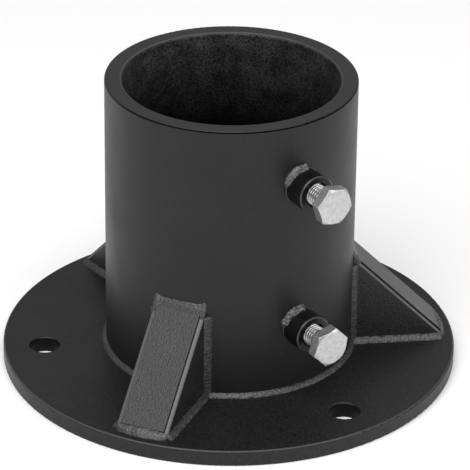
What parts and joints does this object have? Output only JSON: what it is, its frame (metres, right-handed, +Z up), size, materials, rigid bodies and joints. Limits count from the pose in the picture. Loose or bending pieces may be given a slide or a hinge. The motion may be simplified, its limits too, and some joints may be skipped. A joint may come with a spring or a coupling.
{
  "type": "flag pole stand",
  "caption": "Bolt-down stand for a flag pole: round base plate, welded socket tube with box gussets, and side set bolts that clamp the pole.",
  "frame": {"origin": "middle of the base plate's underside, on the socket tube's axis", "axes": "+Z up along the socket tube; -Y to the front, the side that the set bolts come out of"},
  "size_m": [0.21, 0.21, 0.14],
  "materials": {
    "powder_coat": "black powder coat, fine texture, satin",
    "coated_weld": "weld bead under black powder coat, rippled and rough",
    "zinc_plate": "bright zinc plate, slightly mottled"
  },
  "bodies": {
    "stand": {"base_plate": "powder_coat", "gusset_left_left_cheek": "powder_coat", "gusset_left_left_foot_weld": "coated_weld", "gusset_left_left_upright_weld": "coated_weld", "gusset_left_right_cheek": "powder_coat", "gusset_left_right_foot_weld": "coated_weld", "gusset_left_right_upright_weld": "coated_weld", "gusset_left_strap": "powder_coat", "gusset_left_toe_weld": "coated_weld", "gusset_left_top_weld": "coated_weld", "gusset_rear_left_cheek": "powder_coat", "gusset_rear_left_foot_weld": "coated_weld", "gusset_rear_left_upright_weld": "coated_weld", "gusset_rear_right_cheek": "powder_coat", "gusset_rear_right_foot_weld": "coated_weld", "gusset_rear_right_upright_weld": "coated_weld", "gusset_rear_strap": "powder_coat", "gusset_rear_toe_weld": "coated_weld", "gusset_rear_top_weld": "coated_weld", "gusset_right_left_cheek": "powder_coat", "gusset_right_left_foot_weld": "coated_weld", "gusset_right_left_upright_weld": "coated_weld", "gusset_right_right_cheek": "powder_coat", "gusset_right_right_foot_weld": "coated_weld", "gusset_right_right_upright_weld": "coated_weld", "gusset_right_strap": "powder_coat", "gusset_right_toe_weld": "coated_weld", "gusset_right_top_weld": "coated_weld", "lower_boss": "powder_coat", "lower_boss_weld": "coated_weld", "pole_tube": "powder_coat", "tube_weld_front": "coated_weld", "tube_weld_rear_left": "coated_weld", "tube_weld_rear_right": "coated_weld", "upper_boss": "powder_coat", "upper_boss_weld": "coated_weld"},
    "upper_bolt": {"upper_set_bolt": "zinc_plate"},
    "lower_bolt": {"lower_set_bolt": "zinc_plate"}
  },
  "joints": [
    {"name": "upper_bolt_travel", "type": "slide", "parent": "stand", "child": "upper_bolt", "axis": [0, 1, 0], "range_m": [-0.012, 0.0087]},
    {"name": "lower_bolt_travel", "type": "slide", "parent": "stand", "child": "lower_bolt", "axis": [0, 1, 0], "range_m": [-0.012, 0.0087]}
  ]
}
